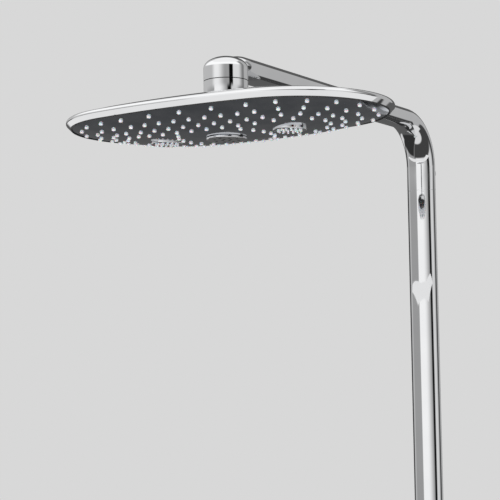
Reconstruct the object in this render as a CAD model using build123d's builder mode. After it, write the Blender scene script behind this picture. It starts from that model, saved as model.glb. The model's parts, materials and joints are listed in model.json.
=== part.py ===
from build123d import *
import os
from math import cos, hypot, radians, sin, sqrt

# Rainfall shower column: an oval rain head on a long straight arm that turns down into
# a slim oval column, standing on a thermostatic mixer with a shelf.
# Millimetres. X runs right along the wall, +Y into the wall, +Z up. The origin lies on
# the wall plane, midway between the two water inlets.

os.makedirs("parts", exist_ok=True)

# ---------------------------------------------------------------- driving dimensions
HEAD_LENGTH = 360.0         # along the wall
HEAD_WIDTH = 220.0          # away from the wall
HEAD_END_X = 75.0           # centres of the outline's end arcs, and of the side jets
RIM_HEIGHT = 9.0
RIM_BEVEL = 4.2             # the rim's lower edge slopes in to the spray face
RIM_CREST = 1.8             # rounding of the rim's outermost line
RIM_ROUND = 3.8             # rounding of the rim's upper edge
FACE_INSET = 5.0            # the spray face's edge, inside the outline
FACE_GAP = 1.0              # the groove between rim and spray face, which a seal fills
FACE_SKIN = 1.5
CROWN = 16.2                # how far the spray face bulges down
CROWN_POWER = 2.4
COVER_SKIN = 2.2
COVER_RISE = 12.0           # the top cover, above the rim

ARM_REACH = 450.0           # hub axis to column axis
COLUMN_OUT = 30.0           # column axis to wall
RIM_Z = 1010.0              # the plane where rim and spray face meet
ARM_UP = 59.2               # arm's middle line above the rim plane
BEND_R = 56.0               # middle line of the bend
SECTION_W = 37.6            # oval section of arm and column
SECTION_D = 24.6
TUBE_SKIN = 2.2
FIT = 0.05                  # play of a part in its seat
SEAM_DOWN = 27.0            # joint between arm and column, below the rim plane
SEAM_GAP = 0.3
COLUMN_FOOT_Z = 30.0

HUB_R = 22.9
HUB_SEAM = 42.5             # joint between hub and collar, above the rim plane
HUB_SEAM_GAP = 0.8
HUB_DOME_UP = 55.5          # where the hub's upright side turns into its oval dome
HUB_DOME_RISE = 12.5
ARM_NOSE = 22.0             # length of the arm's rounded end, over the hub
COLLAR_FOOT = 28.5
COLLAR_BORE = 17.4
BALL_UP = 24.0              # centre of the ball joint, above the rim plane
BALL_R = 10.5
SOCKET_R = 14.6
STUD_R = 8.0
STUD_UP = 14.0              # the ball stud's thread, into the arm
HUB_PAD_R = 26.0            # flat pad under the hub, on top of the head

CENTRE_PLATE_R = 21.0
JET_R = 17.0
TURBINE_R = 12.0
WATERWAY_X = 7.5
WATERWAY_R = 4.0
WATERWAY_BORE = 2.8
SCREW_R = 2.0
SCREW_HEX = 1.1
SEAM_SCREW_DOWN = 16.0
FOOT_SCREW_UP = 10.0

INLET_PITCH = 150.0
THREAD_HALF_INCH = 10.48    # radius over the thread of a half inch pipe
MIXER_W = 300.0
MIXER_BACK = -14.0
MIXER_FRONT = -114.0
MIXER_TOP = 24.0
MIXER_FOOT = -27.0
MIXER_SKIN = 2.4
MIXER_CORNER = 14.0
SHELF_T = 5.0
CONTROL_X = 96.0            # the two flow controls, either side of the middle
KNOB_R = 21.0
RING_R = 19.0
BUTTON_R = 12.5
BRACKET_R = 6.6
BRACKET_NECK_R = 5.0
BRACKET_Z = RIM_Z - 2.0

HUB_Y = -COLUMN_OUT - ARM_REACH
COLUMN_Y = -COLUMN_OUT
SEAM_Z = RIM_Z - SEAM_DOWN
ARM_Z = RIM_Z + ARM_UP
BALL_Z = RIM_Z + BALL_UP
END_R = HEAD_LENGTH / 2 - HEAD_END_X
HALF_W = HEAD_WIDTH / 2
# The long side arcs meet the end arcs smoothly when their centres lie this far out.
SIDE_DROP = (HEAD_END_X**2 - (HALF_W - END_R) ** 2) / (2 * (HALF_W - END_R))

HEAD = Plane((0, HUB_Y, RIM_Z))
TUBE_INNER_W = SECTION_W - 2 * TUBE_SKIN
TUBE_INNER_D = SECTION_D - 2 * TUBE_SKIN
SIDES = (("left", -1), ("right", 1))
JET_SEATS = (("left", -HEAD_END_X), ("centre", 0.0), ("right", HEAD_END_X))


def save(part, name):
    """Labels a finished piece and writes it under its own name."""
    part.label = name
    export_step(part, f"parts/{name}.step")


# ---------------------------------------------------------------- outline and crown
def head_oval(inset=0.0, factor=1.0):
    """The head's outline, four smoothly joined arcs, moved in by inset and scaled."""
    end_x = HEAD_END_X * factor
    end_r = (END_R - inset) * factor
    half_w = (HALF_W - inset) * factor
    reach = hypot(HEAD_END_X, SIDE_DROP)
    join_x = end_x + end_r * HEAD_END_X / reach
    join_y = end_r * SIDE_DROP / reach
    with BuildSketch() as oval:
        with BuildLine():
            ThreePointArc((-join_x, join_y), (0, half_w), (join_x, join_y))
            ThreePointArc((join_x, join_y), (end_x + end_r, 0), (join_x, -join_y))
            ThreePointArc((join_x, -join_y), (0, -half_w), (-join_x, -join_y))
            ThreePointArc((-join_x, -join_y), (-end_x - end_r, 0), (-join_x, join_y))
        make_face()
    return oval.sketch


def crown_z(factor):
    """Height of the spray face, where the outline is scaled by factor."""
    return -CROWN * (1 - factor**CROWN_POWER)


def outline_factor(x, y):
    """The scale at which the face's edge line would pass through a point."""
    x, y = abs(x), abs(y)
    square = x * x + y * y
    end_r = END_R - FACE_INSET
    spread = end_r**2 - HEAD_END_X**2
    factor = (sqrt((HEAD_END_X * x) ** 2 + spread * square) - HEAD_END_X * x) / spread
    if (x - HEAD_END_X * factor) * SIDE_DROP >= y * HEAD_END_X:
        return factor
    side_r = SIDE_DROP + HALF_W - FACE_INSET
    spread = side_r**2 - SIDE_DROP**2
    return (sqrt((SIDE_DROP * y) ** 2 + spread * square) + SIDE_DROP * y) / spread


def face_z(x, y):
    """Height of the spray face at a point, from the rim plane."""
    return crown_z(min(outline_factor(x, y), 1.0))


# ---------------------------------------------------------------- rain nozzle layout
RING_INSETS = (16.5, 33.0, 49.5)
INNER_INSET = 64.0
SPOKE_STEP = 19.3
INNER_STEP = 27.0
COLUMN_PITCH = 18.25
FIRST_COLUMN = -66.6
COLUMN_COUNT = 8
CENTRE_RING_R = 49.5
CENTRE_RING_STEP = 16.2


def end_points(side, inset, angles):
    """Nozzles on one end arc, by their angles from the long axis."""
    radius = END_R - inset
    return [
        (side * (HEAD_END_X + radius * cos(radians(a))), radius * sin(radians(a)))
        for a in angles
    ]


def side_points(inset, step):
    """Nozzles along both long sides, at every step-th column."""
    radius = SIDE_DROP + HALF_W - inset
    points = []
    for k in range(0, COLUMN_COUNT, step):
        x = FIRST_COLUMN + k * COLUMN_PITCH
        y = sqrt(radius**2 - x**2) - SIDE_DROP
        points += [(x, y), (x, -y)]
    return points


def nozzle_points():
    """Every rain nozzle: rings that follow the outline, and arcs beside the middle."""
    right = [(k + 0.5) * SPOKE_STEP for k in range(-5, 5)]
    left = [k * SPOKE_STEP for k in range(-4, 5)]
    inner = [k * INNER_STEP for k in range(-3, 4)]
    points = []
    for ring, inset in enumerate(RING_INSETS):
        points += end_points(1, inset, right) + end_points(-1, inset, left)
        points += side_points(inset, 2 if ring == 0 else 1)
    points += end_points(1, INNER_INSET, inner) + end_points(-1, INNER_INSET, inner)
    points += side_points(INNER_INSET, 1)
    for k in (-2.5, -1.5, -0.5, 0.5, 1.5, 2.5):
        angle = radians(k * CENTRE_RING_STEP)
        x, y = CENTRE_RING_R * cos(angle), CENTRE_RING_R * sin(angle)
        points += [(x, y), (-x, y)]
    return points


NOZZLES = nozzle_points()
NOZZLE_R = 2.1
NOZZLE_TIP_R = 1.3
NOZZLE_PROUD = 1.6
NOZZLE_FLANGE_R = 3.2
NOZZLE_ORIFICE = 0.55
NOZZLE_MOUTH_R = 0.8
NOZZLE_FLANGE_T = 0.8
NOZZLE_FLANGE_UP = 2.0      # above the face's skin, clear of its slope
NOZZLE_STEM = 0.2           # straight part of the tip, before it rounds over

# ---------------------------------------------------------------- head: top shell
COVER_STEPS = ((0.975, 0.0), (0.86, 0.38), (0.66, 0.7), (0.42, 0.91), (0.2, 1.0))


def cover_body(skin):
    """The low domed top of the head, moved in by skin."""
    with BuildPart(mode=Mode.PRIVATE) as dome:
        for factor, rise in COVER_STEPS:
            height = RIM_HEIGHT - 0.6 + COVER_RISE * rise - skin
            with BuildSketch(HEAD.offset(height)):
                add(head_oval(skin, factor))
        loft()
    return dome.part


CREST_BAND = (RIM_Z + RIM_BEVEL - 0.1, RIM_Z + RIM_BEVEL + 0.1)
with BuildPart() as head_shell:
    with BuildSketch(HEAD):
        add(head_oval())
    extrude(amount=RIM_HEIGHT)
    chamfer(head_shell.edges().group_by(Axis.Z)[0], length=RIM_BEVEL)
    fillet(head_shell.edges().group_by(Axis.Z)[-1], radius=RIM_ROUND)
    fillet(head_shell.edges().filter_by_position(Axis.Z, *CREST_BAND), radius=RIM_CREST)
    add(cover_body(0))
    with BuildSketch(HEAD.offset(RIM_HEIGHT)):
        Circle(HUB_PAD_R)
    extrude(amount=COVER_RISE - 1)
    # The inside is open from below, and holds the water chamber.
    with BuildSketch(HEAD.offset(-1)):
        add(head_oval(FACE_INSET))
    extrude(amount=RIM_HEIGHT - 1.5, mode=Mode.SUBTRACT)
    add(cover_body(COVER_SKIN), mode=Mode.SUBTRACT)
    # The seat of the ball joint's socket.
    with BuildSketch(HEAD):
        Circle(SOCKET_R + 2 * FIT)
    extrude(amount=BALL_UP + SOCKET_R, mode=Mode.SUBTRACT)
save(head_shell.part, "head_shell")

# ---------------------------------------------------------------- head: spray face
CROWN_STEPS = (1.0, 0.93, 0.8, 0.62, 0.42, 0.22, 0.08)
FACE_FLANGE = 3.5


def crown_body(inset, lift, collar):
    """The bulge of the spray face as a solid, with an upright collar at its edge."""
    with BuildPart(mode=Mode.PRIVATE) as crown:
        for factor in CROWN_STEPS:
            with BuildSketch(HEAD.offset(crown_z(factor) + lift)):
                add(head_oval(inset, factor))
        loft()
        with BuildSketch(HEAD.offset(lift)):
            add(head_oval(inset))
        extrude(amount=collar)
    return crown.part


with BuildPart() as spray_face:
    add(crown_body(FACE_INSET + FACE_GAP, 0, FACE_FLANGE))
    add(crown_body(FACE_INSET + FACE_GAP + FACE_SKIN, FACE_SKIN, 10), mode=Mode.SUBTRACT)
    with BuildSketch(HEAD.offset(-CROWN - 5)):
        with Locations(*NOZZLES):
            Circle(NOZZLE_R + FIT)
        Circle(CENTRE_PLATE_R - 3)
        with Locations((-HEAD_END_X, 0), (HEAD_END_X, 0)):
            Circle(JET_R + 3 * FIT)
    extrude(amount=CROWN + 12, mode=Mode.SUBTRACT)
save(spray_face.part, "spray_face")


# A thin black seal fills the groove round the face, and stands a little below the rim.
SEAL_PROUD = 0.9
SEAL_UP = 2.5
with BuildPart() as face_seal:
    with BuildSketch(HEAD.offset(-SEAL_PROUD)):
        add(head_oval(FACE_INSET + FIT))
        add(head_oval(FACE_INSET + FACE_GAP - FIT), mode=Mode.SUBTRACT)
    extrude(amount=SEAL_PROUD + SEAL_UP)
save(face_seal.part, "face_seal")


def nozzle_body(above, proud):
    """One silicone nozzle: a rounded tip, a stem and a flange behind the face."""
    shoulder = (NOZZLE_R - 0.2, -(NOZZLE_STEM + proud) * 0.6)
    with BuildPart(mode=Mode.PRIVATE) as nozzle:
        with BuildSketch(Plane.XZ):
            with BuildLine():
                Polyline(
                    (NOZZLE_MOUTH_R, -proud),
                    (NOZZLE_ORIFICE, -proud + 0.9),
                    (NOZZLE_ORIFICE, above + NOZZLE_FLANGE_T),
                    (NOZZLE_FLANGE_R, above + NOZZLE_FLANGE_T),
                    (NOZZLE_FLANGE_R, above),
                    (NOZZLE_R, above),
                    (NOZZLE_R, -NOZZLE_STEM),
                )
                ThreePointArc((NOZZLE_R, -NOZZLE_STEM), shoulder, (NOZZLE_TIP_R, -proud))
                Line((NOZZLE_TIP_R, -proud), (NOZZLE_MOUTH_R, -proud))
            make_face()
        revolve(axis=Axis.Z)
    return nozzle.part


with BuildPart() as rain_nozzles:
    tip = nozzle_body(FACE_SKIN + NOZZLE_FLANGE_UP, NOZZLE_PROUD)
    add([HEAD.location * Location((x, y, face_z(x, y))) * tip for x, y in NOZZLES])
save(rain_nozzles.part, "rain_nozzles")

# The chamber behind the face: two plates with a seal between them.
CHAMBER_INSET = FACE_INSET + FACE_GAP + FACE_SKIN + 4.0
with BuildPart() as distributor_plate:
    with BuildSketch(HEAD.offset(3.2)):
        add(head_oval(CHAMBER_INSET))
        with Locations(*NOZZLES[::3]):
            Circle(1.5, mode=Mode.SUBTRACT)
        with Locations(*[(x, 0) for _, x in JET_SEATS]):
            Circle(TURBINE_R - 4, mode=Mode.SUBTRACT)
    extrude(amount=2.0)
save(distributor_plate.part, "distributor_plate")

with BuildPart() as chamber_seal:
    with BuildSketch(HEAD.offset(5.2)):
        add(head_oval(CHAMBER_INSET + 1))
        add(head_oval(CHAMBER_INSET + 4), mode=Mode.SUBTRACT)
    extrude(amount=1.4)
save(chamber_seal.part, "chamber_seal")

CHAMBER_TOP = 6.6
with BuildPart() as chamber_cover:
    with BuildSketch(HEAD.offset(CHAMBER_TOP)):
        add(head_oval(CHAMBER_INSET + 8))
        Circle(9, mode=Mode.SUBTRACT)
    extrude(amount=1.6)
    with BuildSketch(HEAD.offset(CHAMBER_TOP)):
        Circle(12)
        Circle(9, mode=Mode.SUBTRACT)
    extrude(amount=4.0)
save(chamber_cover.part, "chamber_cover")

FACE_SCREWS = [(sx * 128, sy * 58) for sx in (-1, 1) for sy in (-1, 1)]
with BuildPart() as chamber_screws:
    with BuildSketch(HEAD.offset(CHAMBER_TOP + 1.6)):
        with Locations(*FACE_SCREWS):
            Circle(3.4)
            Circle(1.3, mode=Mode.SUBTRACT)
    extrude(amount=1.2)
save(chamber_screws.part, "chamber_screws")

# ---------------------------------------------------------------- head: jets
with BuildPart() as centre_plate:
    with BuildSketch(HEAD.offset(-CROWN - 2.2)):
        Circle(CENTRE_PLATE_R)
    extrude(amount=2.0)
    fillet(centre_plate.edges().group_by(Axis.Z)[0], radius=0.9)
    with BuildSketch(HEAD.offset(-CROWN - 0.2)):
        Circle(CENTRE_PLATE_R - 3.1)
        Circle(CENTRE_PLATE_R - 5.1, mode=Mode.SUBTRACT)
    extrude(amount=3.4)
    with BuildSketch(HEAD.offset(-CROWN - 3)):
        with PolarLocations(CENTRE_PLATE_R - 8.5, 8):
            Circle(1.6)
        with PolarLocations(5.0, 4):
            Circle(1.6)
    extrude(amount=5, mode=Mode.SUBTRACT)
save(centre_plate.part, "centre_plate")


INSERT_PROUD = 2.0
JET_RINGS = ((JET_R - 5.4, 14), (6.2, 8))


def jet_insert(x):
    """A round massage insert, let into the spray face, with a ring of fine jets."""
    base = HEAD.offset(face_z(x, 0))
    seat = Plane(base.origin + Vector(x, 0, 0))
    with BuildPart(mode=Mode.PRIVATE) as insert:
        with BuildSketch(seat.offset(-INSERT_PROUD)):
            Circle(JET_R)
        extrude(amount=2 * INSERT_PROUD)
        fillet(insert.edges().group_by(Axis.Z)[0], radius=1.1)
        with BuildSketch(seat.offset(INSERT_PROUD)):
            Circle(JET_R - 2.1)
            Circle(JET_R - 4.0, mode=Mode.SUBTRACT)
        extrude(amount=5.5)
        with BuildSketch(seat.offset(-INSERT_PROUD - 1)):
            for ring_r, count in JET_RINGS:
                with PolarLocations(ring_r, count):
                    Circle(1.1)
        extrude(amount=2 * INSERT_PROUD + 2, mode=Mode.SUBTRACT)
    return insert.part


for side_name, side in SIDES:
    save(jet_insert(side * HEAD_END_X), f"massage_insert_{side_name}")

JET_TIP_PROUD = 1.4
with BuildPart() as massage_tips:
    for _, side in SIDES:
        x = side * HEAD_END_X
        seat = Plane(HEAD.offset(face_z(x, 0) - INSERT_PROUD).origin + Vector(x, 0, 0))
        with BuildSketch(seat.offset(-JET_TIP_PROUD)):
            for ring_r, count in JET_RINGS:
                with PolarLocations(ring_r, count):
                    Circle(1.05)
                    Circle(0.45, mode=Mode.SUBTRACT)
        extrude(amount=JET_TIP_PROUD + 1.5)
save(massage_tips.part, "massage_tips")

TURBINE_BLADES = 6
TURBINE_H = 3.0
PIN_R = 1.0


def turbine_floor(x):
    """The underside of a jet's turbine, just above the insert's floor."""
    return (crown_z(0) - 0.2 if x == 0 else face_z(x, 0) + INSERT_PROUD) + 0.6


def turbine(x):
    """A small bladed wheel that the water drives round."""
    floor = Plane(HEAD.offset(turbine_floor(x)).origin + Vector(x, 0, 0))
    with BuildPart(mode=Mode.PRIVATE) as wheel:
        with BuildSketch(floor):
            Circle(3.4)
            with PolarLocations(TURBINE_R / 2 + 1.0, TURBINE_BLADES):
                Rectangle(TURBINE_R - 2.4, 1.2, rotation=18)
            Circle(PIN_R + 0.05, mode=Mode.SUBTRACT)
        extrude(amount=TURBINE_H)
    return wheel.part


def turbine_pin(x):
    """The fixed pin that a turbine spins on."""
    floor = Plane(HEAD.offset(turbine_floor(x) - 0.6).origin + Vector(x, 0, 0))
    with BuildPart(mode=Mode.PRIVATE) as pin:
        with BuildSketch(floor):
            Circle(PIN_R)
        extrude(amount=TURBINE_H + 1.6)
    return pin.part


for seat_name, seat_x in JET_SEATS:
    save(turbine(seat_x), f"turbine_{seat_name}")
with BuildPart() as turbine_pins:
    add([turbine_pin(seat_x) for _, seat_x in JET_SEATS])
save(turbine_pins.part, "turbine_pins")

# ---------------------------------------------------------------- swivel
BALL = Plane((0, HUB_Y, BALL_Z))
STEM_R = 5.4
STUD_BORE = 3.4
SEAM_LINE_Z = RIM_Z + HUB_SEAM
STEM_FOOT = BALL_Z + sqrt(BALL_R**2 - STEM_R**2)
with BuildPart() as ball_stud:
    with BuildSketch(Plane.XZ.offset(-HUB_Y)):
        with BuildLine():
            Polyline(
                (0, BALL_Z - BALL_R),
                (0, SEAM_LINE_Z + STUD_UP),
                (STUD_R, SEAM_LINE_Z + STUD_UP),
                (STUD_R, SEAM_LINE_Z - 2),
                (STEM_R, SEAM_LINE_Z - 5),
                (STEM_R, STEM_FOOT),
            )
            ThreePointArc(
                (STEM_R, STEM_FOOT),
                (BALL_R, BALL_Z),
                (0, BALL_Z - BALL_R),
            )
        make_face()
    revolve(axis=Axis((0, HUB_Y, 0), (0, 0, 1)))
    with BuildSketch(HEAD):
        Circle(STUD_BORE)
    extrude(amount=HUB_SEAM + STUD_UP + 6, mode=Mode.SUBTRACT)
save(ball_stud.part, "ball_stud")

# The socket is screwed to the head; the seat ring turns in it under the ball.
with BuildPart() as swivel_socket:
    with BuildSketch(HEAD.offset(CHAMBER_TOP + 4.0 + 0.4)):
        Circle(SOCKET_R)
    extrude(amount=BALL_UP + 7.5 - CHAMBER_TOP - 4.4)
    with BuildSketch(HEAD.offset(CHAMBER_TOP + 4.0)):
        Circle(SOCKET_R - 2.6)
    extrude(amount=30, mode=Mode.SUBTRACT)
    with BuildSketch(HEAD.offset(RIM_HEIGHT + COVER_RISE - 0.55)):
        Circle(SOCKET_R + 3.4)
        Circle(SOCKET_R, mode=Mode.SUBTRACT)
    extrude(amount=2.2)
save(swivel_socket.part, "swivel_socket")

with BuildPart() as ball_seat:
    with BuildSketch(HEAD.offset(BALL_UP - 7.0)):
        Circle(SOCKET_R - 2.65)
    extrude(amount=14.0)
    with Locations(BALL):
        Sphere(BALL_R + FIT, mode=Mode.SUBTRACT)
    with BuildSketch(HEAD.offset(BALL_UP - 9)):
        Circle(7.4)
    extrude(amount=20, mode=Mode.SUBTRACT)
save(ball_seat.part, "ball_seat")

with BuildPart() as hub_collar:
    with BuildSketch(HEAD.offset(COLLAR_FOOT)):
        Circle(HUB_R)
        Circle(COLLAR_BORE, mode=Mode.SUBTRACT)
    extrude(amount=HUB_SEAM - COLLAR_FOOT - HUB_SEAM_GAP)
    fillet(hub_collar.edges().group_by(Axis.Z)[0], radius=0.8)
    with BuildSketch(HEAD.offset(HUB_SEAM - 3.4)):
        Circle(COLLAR_BORE)
        Circle(STUD_R + 2 * FIT, mode=Mode.SUBTRACT)
    extrude(amount=3.4 - HUB_SEAM_GAP)
save(hub_collar.part, "hub_collar")

# ---------------------------------------------------------------- arm and column
def bent_path(start_y, foot_z):
    """The middle line out along the arm, round the bend and down the column."""
    bend_y = COLUMN_Y - BEND_R
    middle = BEND_R * sin(radians(45))
    with BuildLine(mode=Mode.PRIVATE) as path:
        Line((0, start_y, ARM_Z), (0, bend_y, ARM_Z))
        ThreePointArc(
            (0, bend_y, ARM_Z),
            (0, bend_y + middle, ARM_Z - BEND_R + middle),
            (0, COLUMN_Y, ARM_Z - BEND_R),
        )
        Line((0, COLUMN_Y, ARM_Z - BEND_R), (0, COLUMN_Y, foot_z))
    return path.line


def bent_tube(start_y, foot_z, width, depth):
    """A solid bar of oval section along the middle line."""
    start = Plane((0, start_y, ARM_Z), x_dir=(1, 0, 0), z_dir=(0, 1, 0))
    with BuildPart(mode=Mode.PRIVATE) as bar:
        with BuildSketch(start):
            Ellipse(width / 2, depth / 2)
        sweep(path=bent_path(start_y, foot_z))
    return bar.part


NOSE_FACTORS = (0.55, 0.72, 0.86, 0.95, 1.0)


def arm_nose():
    """The arm's front end, which rounds down into the hub's dome."""
    with BuildPart(mode=Mode.PRIVATE) as nose:
        for factor in NOSE_FACTORS:
            station = HUB_Y + ARM_NOSE * (1 - sqrt(1 - factor**2))
            section = Plane((0, station, ARM_Z), x_dir=(1, 0, 0), z_dir=(0, 1, 0))
            with BuildSketch(section):
                Ellipse(SECTION_W / 2 * factor, SECTION_D / 2 * factor)
        loft()
    return nose.part


DOME_Z = RIM_Z + HUB_DOME_UP
with BuildPart() as arm_casting:
    with BuildSketch(Plane.XZ.offset(-HUB_Y)):
        with BuildLine():
            Polyline(
                (0, DOME_Z + HUB_DOME_RISE),
                (0, SEAM_LINE_Z),
                (HUB_R, SEAM_LINE_Z),
                (HUB_R, DOME_Z),
            )
            EllipticalCenterArc((0, DOME_Z), HUB_R, HUB_DOME_RISE, 0, arc_size=90)
        make_face()
    revolve(axis=Axis((0, HUB_Y, 0), (0, 0, 1)))
    add(arm_nose())
    add(bent_tube(HUB_Y + ARM_NOSE, SEAM_Z, SECTION_W, SECTION_D))
    hollow_start = HUB_Y + HUB_R + 2
    add(bent_tube(hollow_start, SEAM_Z - 1, TUBE_INNER_W, TUBE_INNER_D), mode=Mode.SUBTRACT)
    # The ball stud screws in from below, and two passages lead to the water tubes.
    with BuildSketch(HEAD.offset(HUB_SEAM - 1)):
        Circle(STUD_R + FIT)
    extrude(amount=STUD_UP + 2, mode=Mode.SUBTRACT)
    with BuildSketch(Plane.XZ.offset(-HUB_Y)):
        with Locations((-WATERWAY_X, ARM_Z), (WATERWAY_X, ARM_Z)):
            Circle(WATERWAY_R + FIT)
    extrude(amount=-HUB_R - 4, mode=Mode.SUBTRACT)
    # A seat for the wall bracket's neck, at the back of the upright end.
    with BuildSketch(Plane.XZ.offset(-COLUMN_Y)):
        with Locations((0, BRACKET_Z)):
            Circle(BRACKET_NECK_R + FIT)
    extrude(amount=-SECTION_D, mode=Mode.SUBTRACT)
save(arm_casting.part, "arm_casting")

COLUMN_SCREWS_Z = (SEAM_Z - SEAM_SCREW_DOWN, COLUMN_FOOT_Z + FOOT_SCREW_UP)
with BuildPart() as column_tube:
    with BuildSketch(Plane((0, COLUMN_Y, COLUMN_FOOT_Z))):
        Ellipse(SECTION_W / 2, SECTION_D / 2)
        Ellipse(TUBE_INNER_W / 2, TUBE_INNER_D / 2, mode=Mode.SUBTRACT)
    extrude(amount=SEAM_Z - SEAM_GAP - COLUMN_FOOT_Z)
    with BuildSketch(Plane.XZ.offset(-COLUMN_Y)):
        with Locations(*[(0, z) for z in COLUMN_SCREWS_Z]):
            Circle(SCREW_R + FIT)
    extrude(amount=-SECTION_D, mode=Mode.SUBTRACT)
save(column_tube.part, "column_tube")

SPIGOT_CLEAR = 2 * FIT
SPIGOT_REACH = 32.0          # how far the spigot reaches into the column
SPIGOT_LENGTH = 48.0
SPIGOT_SKIN = 2.1


def spigot_ring():
    """The oval ring that fits inside the column."""
    outer_w = TUBE_INNER_W / 2 - SPIGOT_CLEAR
    outer_d = TUBE_INNER_D / 2 - SPIGOT_CLEAR
    with BuildSketch(mode=Mode.PRIVATE) as ring:
        Ellipse(outer_w, outer_d)
        Ellipse(outer_w - SPIGOT_SKIN, outer_d - SPIGOT_SKIN, mode=Mode.SUBTRACT)
    return ring.sketch


with BuildPart() as column_spigot:
    with BuildSketch(Plane((0, COLUMN_Y, SEAM_Z - SPIGOT_REACH))):
        add(spigot_ring())
    extrude(amount=SPIGOT_LENGTH)
    with BuildSketch(Plane.XZ.offset(-COLUMN_Y)):
        with Locations((0, SEAM_Z - SEAM_SCREW_DOWN)):
            Circle(SCREW_R + FIT)
    extrude(amount=-SECTION_D, mode=Mode.SUBTRACT)
save(column_spigot.part, "column_spigot")

WATERWAY_FOOT = 8.0
for way_name, way_x in (("rain", -WATERWAY_X), ("massage", WATERWAY_X)):
    way_start = HUB_Y + 14
    with BuildPart() as waterway:
        mouth = Plane((way_x, way_start, ARM_Z), x_dir=(1, 0, 0), z_dir=(0, 1, 0))
        with BuildSketch(mouth):
            Circle(WATERWAY_R)
            Circle(WATERWAY_BORE, mode=Mode.SUBTRACT)
        sweep(path=bent_path(way_start, WATERWAY_FOOT).moved(Location((way_x, 0, 0))))
    save(waterway.part, f"waterway_{way_name}")

with BuildPart() as column_screws:
    for z in COLUMN_SCREWS_Z:
        with BuildSketch(Plane.XZ.offset(-COLUMN_Y - SECTION_D / 2 + 0.4)):
            with Locations((0, z)):
                Circle(SCREW_R)
                RegularPolygon(SCREW_HEX, 6, mode=Mode.SUBTRACT)
        extrude(amount=3.6)
save(column_screws.part, "column_screws")

# ---------------------------------------------------------------- wall bracket
BRACKET_BORE = 4.1
BRACKET_DEPTH = 11.0
BRACKET_SCREW_Y = -5.0
BOLT_R = 2.5
with BuildPart() as wall_bracket:
    with BuildSketch(Plane.XZ):
        with Locations((0, BRACKET_Z)):
            Circle(BRACKET_R)
    extrude(amount=COLUMN_OUT - 8)
    with BuildSketch(Plane((0, COLUMN_Y, BRACKET_Z - 20))):
        Ellipse(SECTION_W / 2 + FIT, SECTION_D / 2 + FIT)
    extrude(amount=40, mode=Mode.SUBTRACT)
    with BuildSketch(Plane.XZ):
        with Locations((0, BRACKET_Z)):
            Circle(BRACKET_NECK_R)
    extrude(amount=COLUMN_OUT - SECTION_D / 2 + TUBE_SKIN)
    with BuildSketch(Plane.XZ):
        with Locations((0, BRACKET_Z)):
            Circle(BRACKET_BORE)
    extrude(amount=BRACKET_DEPTH, mode=Mode.SUBTRACT)
    with BuildSketch(Plane.XZ):
        with Locations((0, BRACKET_Z)):
            Circle(BOLT_R + 2 * FIT)
    extrude(amount=COLUMN_OUT, mode=Mode.SUBTRACT)
    with BuildSketch(Plane((0, BRACKET_SCREW_Y, BRACKET_Z - BRACKET_R - 1))):
        Circle(SCREW_R + FIT)
    extrude(amount=BRACKET_R, mode=Mode.SUBTRACT)
save(wall_bracket.part, "wall_bracket")

with BuildPart() as bracket_screw:
    with BuildSketch(Plane((0, BRACKET_SCREW_Y, BRACKET_Z - BRACKET_R + 0.3))):
        Circle(SCREW_R)
        RegularPolygon(SCREW_HEX, 6, mode=Mode.SUBTRACT)
    extrude(amount=BRACKET_R - BRACKET_BORE - 0.4)
save(bracket_screw.part, "bracket_screw")

with BuildPart() as bracket_bolt:
    with BuildSketch(Plane.XZ.offset(BRACKET_DEPTH + 0.1)):
        with Locations((0, BRACKET_Z)):
            Circle(BOLT_R)
    extrude(amount=12.5)
    with BuildSketch(Plane.XZ.offset(COLUMN_OUT - SECTION_D / 2 + TUBE_SKIN + 0.1)):
        with Locations((0, BRACKET_Z)):
            Circle(4.2)
            RegularPolygon(1.6, 6, mode=Mode.SUBTRACT)
    extrude(amount=2.6)
save(bracket_bolt.part, "bracket_bolt")

# ---------------------------------------------------------------- mixer housing
MIXER_DEPTH = MIXER_BACK - MIXER_FRONT
MIXER_MID_Y = (MIXER_BACK + MIXER_FRONT) / 2
MIXER_H = MIXER_TOP - MIXER_FOOT
CONTROL_Z = -2.0
UNION_POCKET_R = 20.0
OUTLET_AT = (60.0, -62.0)
CONTROL_BORE = 15.0
CASE_SCREWS = [(sx * 110, MIXER_MID_Y + sy * 30) for sx in (-1, 1) for sy in (-1, 1)]
FOOT_FLANGE = 4.6           # the column foot's collar, outside the column
SHELF_PLAY = 0.6


def mixer_plan(inset=0.0):
    """The mixer seen from above: a rectangle with round corners."""
    with BuildSketch() as plan:
        with Locations((0, MIXER_MID_Y)):
            RectangleRounded(
                MIXER_W - 2 * inset, MIXER_DEPTH - 2 * inset, MIXER_CORNER - inset
            )
    return plan.sketch


with BuildPart() as mixer_housing:
    with BuildSketch(Plane.XY.offset(MIXER_FOOT)):
        add(mixer_plan())
    extrude(amount=MIXER_H)
    fillet(mixer_housing.edges().group_by(Axis.Z)[0], radius=6)
    with BuildSketch(Plane.XY.offset(MIXER_FOOT + MIXER_SKIN)):
        add(mixer_plan(MIXER_SKIN))
    extrude(amount=MIXER_H, mode=Mode.SUBTRACT)
    # Openings: two at the back for the wall unions, three in front for the controls.
    with BuildSketch(Plane.XZ.offset(-MIXER_BACK - 1)):
        with Locations((-INLET_PITCH / 2, 0), (INLET_PITCH / 2, 0)):
            Circle(UNION_POCKET_R)
    extrude(amount=MIXER_SKIN + 3, mode=Mode.SUBTRACT)
    with BuildSketch(Plane.XZ.offset(-MIXER_FRONT + 1)):
        with Locations(*[(x, CONTROL_Z) for x in (-CONTROL_X, 0, CONTROL_X)]):
            Circle(CONTROL_BORE)
    extrude(amount=-MIXER_SKIN - 3, mode=Mode.SUBTRACT)
    with BuildSketch(Plane.XY.offset(MIXER_FOOT - 1)):
        with Locations(OUTLET_AT):
            Circle(THREAD_HALF_INCH + 0.3)
        with Locations(*CASE_SCREWS):
            Circle(SCREW_R)
    extrude(amount=MIXER_SKIN + 2, mode=Mode.SUBTRACT)
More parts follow.
